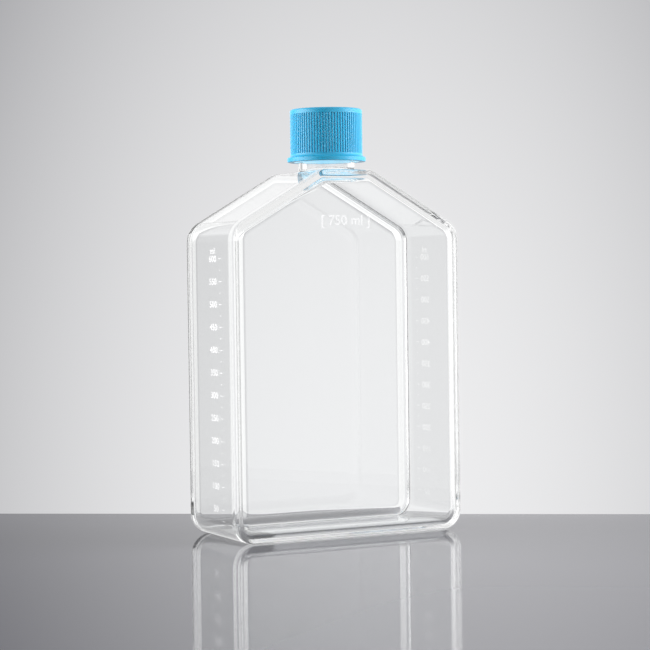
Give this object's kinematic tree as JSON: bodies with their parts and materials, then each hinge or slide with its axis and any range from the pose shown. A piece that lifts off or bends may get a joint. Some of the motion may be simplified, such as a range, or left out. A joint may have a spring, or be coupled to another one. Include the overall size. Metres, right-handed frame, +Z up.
{
  "type": "cell culture flask",
  "caption": "Clear rectangular plastic flask standing on its narrow base, with sloped shoulders, a straight screw neck and a ribbed blue cap.",
  "frame": {"origin": "centre of the base that the flask stands on", "axes": "+Z up along the neck, X across the broad faces, Y from the front broad face (-Y) to the back one"},
  "size_m": [0.11, 0.051, 0.186],
  "materials": {
    "clear_polystyrene": "clear, glossy moulded polystyrene",
    "blue_cap": "satin light-blue moulded polyethylene",
    "white_liner": "matt white soft sealing disc"
  },
  "bodies": {
    "flask": {"flask_body": "clear_polystyrene"},
    "liner": {"cap_liner": "white_liner"},
    "cap": {"screw_cap": "blue_cap"}
  },
  "joints": [
    {"name": "cap_lift", "type": "slide", "parent": "flask", "child": "liner", "axis": [0, 0, 1], "range_m": [0, 0.0049]},
    {"name": "cap_turn", "type": "hinge", "parent": "liner", "child": "cap", "pos_m": [0, -0.005, 0.175], "axis": [0, 0, 1], "range_deg": [0, 540]}
  ],
  "couplings": [
    {"joint": "cap_lift", "follows": "cap_turn", "m_per_rad": 0.0005093}
  ]
}
